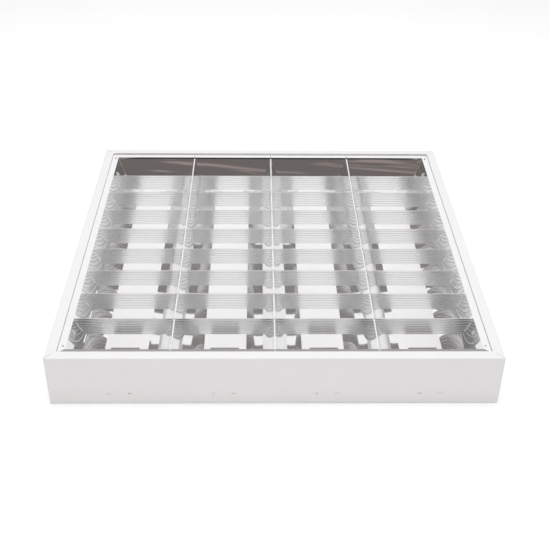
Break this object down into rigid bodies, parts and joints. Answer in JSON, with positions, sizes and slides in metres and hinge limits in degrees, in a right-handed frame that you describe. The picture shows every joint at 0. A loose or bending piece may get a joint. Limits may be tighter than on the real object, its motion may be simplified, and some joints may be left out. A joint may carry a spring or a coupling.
{
  "type": "surface mount fluorescent fixture",
  "caption": "Square surface mounted luminaire: a white steel tray with lampholders and control gear, and a hinged bright louvre of V blades and ribbed cross blades.",
  "frame": {"origin": "centre of the back plate's outer face, which meets the ceiling", "axes": "+Z out of the back plate to the light side, +X across the lamps, +Y along the lamps, away from the picture's camera"},
  "size_m": [0.62, 0.62, 0.08],
  "materials": {
    "blade_aluminium": "semi-specular rolled ribs",
    "contact_bronze": "bright strip",
    "galvanised_steel": "galvanised",
    "gear_white": "white paint",
    "grommet_rubber": "moulded",
    "holder_white": "moulded, slight gloss",
    "housing_white": "smooth semi-gloss white powder coat",
    "reflector_aluminium": "anodised, semi-specular",
    "rivet_aluminium": "bright",
    "rotor_white": "moulded, fine texture",
    "screw_zinc": "zinc plated",
    "spring_steel": "drawn wire, zinc plated",
    "terminal_plastic": "moulded",
    "tinned_copper": "tinned",
    "wire_brown": "smooth insulation",
    "wire_green": "smooth insulation",
    "wire_white": "smooth insulation"
  },
  "bodies": {
    "housing": {"housing_tray": "housing_white", "lampholder_1": "holder_white", "lampholder_2": "holder_white", "lampholder_3": "holder_white", "lampholder_4": "holder_white", "lampholder_5": "holder_white", "lampholder_6": "holder_white", "lampholder_7": "holder_white", "lampholder_8": "holder_white", "lamp_contacts": "contact_bronze", "louvre_spring_left_near": "spring_steel", "louvre_spring_left_far": "spring_steel", "spring_saddles": "galvanised_steel", "gear_base": "galvanised_steel", "gear_cover": "gear_white", "gear_terminal_near": "terminal_plastic", "gear_terminal_far": "terminal_plastic", "mains_terminal": "terminal_plastic", "clamp_screws": "screw_zinc", "tray_screws": "screw_zinc", "earth_lug": "tinned_copper", "earth_screw": "screw_zinc", "cable_grommet": "grommet_rubber", "lamp_wires_near_left": "wire_white", "lamp_wires_near_right": "wire_white", "lamp_wires_far_left": "wire_white", "lamp_wires_far_right": "wire_white", "supply_wires": "wire_brown", "earth_wire": "wire_green", "wire_clips": "galvanised_steel"},
    "louvre": {"side_reflector_left": "reflector_aluminium", "side_reflector_right": "reflector_aluminium", "end_reflector_near": "reflector_aluminium", "end_reflector_far": "reflector_aluminium", "louvre_rivets": "rivet_aluminium", "v_blade_1": "reflector_aluminium", "v_blade_2": "reflector_aluminium", "v_blade_3": "reflector_aluminium", "cross_blade_1": "blade_aluminium", "cross_blade_2": "blade_aluminium", "cross_blade_3": "blade_aluminium", "cross_blade_4": "blade_aluminium", "cross_blade_5": "blade_aluminium", "cross_blade_6": "blade_aluminium", "cross_blade_7": "blade_aluminium", "cross_blade_8": "blade_aluminium"},
    "catch_near": {"louvre_spring_right_near": "spring_steel"},
    "catch_far": {"louvre_spring_right_far": "spring_steel"},
    "rotor_1": {"lamp_rotor_1": "rotor_white"},
    "rotor_2": {"lamp_rotor_2": "rotor_white"},
    "rotor_3": {"lamp_rotor_3": "rotor_white"},
    "rotor_4": {"lamp_rotor_4": "rotor_white"},
    "rotor_5": {"lamp_rotor_5": "rotor_white"},
    "rotor_6": {"lamp_rotor_6": "rotor_white"},
    "rotor_7": {"lamp_rotor_7": "rotor_white"},
    "rotor_8": {"lamp_rotor_8": "rotor_white"}
  },
  "joints": [
    {"name": "louvre_hinge", "type": "hinge", "parent": "housing", "child": "louvre", "pos_m": [-0.27917, 0, 0.0625], "axis": [0, -1, 0], "range_deg": [0, 90]},
    {"name": "catch_near_flex", "type": "hinge", "parent": "housing", "child": "catch_near", "pos_m": [0.28367, 0, 0.00155], "axis": [0, 1, 0], "range_deg": [0, 4.5], "stiffness_Nm_per_rad": 0.6},
    {"name": "catch_far_flex", "type": "hinge", "parent": "housing", "child": "catch_far", "pos_m": [0.28367, 0, 0.00155], "axis": [0, 1, 0], "range_deg": [0, 4.5], "stiffness_Nm_per_rad": 0.6},
    {"name": "rotor_1_turn", "type": "hinge", "parent": "housing", "child": "rotor_1", "pos_m": [-0.21349, -0.302, 0.0185], "axis": [0, 1, 0], "range_deg": [0, 90]},
    {"name": "rotor_2_turn", "type": "hinge", "parent": "housing", "child": "rotor_2", "pos_m": [-0.07116, -0.302, 0.0185], "axis": [0, 1, 0], "range_deg": [0, 90]},
    {"name": "rotor_3_turn", "type": "hinge", "parent": "housing", "child": "rotor_3", "pos_m": [0.07116, -0.302, 0.0185], "axis": [0, 1, 0], "range_deg": [0, 90]},
    {"name": "rotor_4_turn", "type": "hinge", "parent": "housing", "child": "rotor_4", "pos_m": [0.21349, -0.302, 0.0185], "axis": [0, 1, 0], "range_deg": [0, 90]},
    {"name": "rotor_5_turn", "type": "hinge", "parent": "housing", "child": "rotor_5", "pos_m": [-0.21349, 0.302, 0.0185], "axis": [0, 1, 0], "range_deg": [0, 90]},
    {"name": "rotor_6_turn", "type": "hinge", "parent": "housing", "child": "rotor_6", "pos_m": [-0.07116, 0.302, 0.0185], "axis": [0, 1, 0], "range_deg": [0, 90]},
    {"name": "rotor_7_turn", "type": "hinge", "parent": "housing", "child": "rotor_7", "pos_m": [0.07116, 0.302, 0.0185], "axis": [0, 1, 0], "range_deg": [0, 90]},
    {"name": "rotor_8_turn", "type": "hinge", "parent": "housing", "child": "rotor_8", "pos_m": [0.21349, 0.302, 0.0185], "axis": [0, 1, 0], "range_deg": [0, 90]}
  ]
}
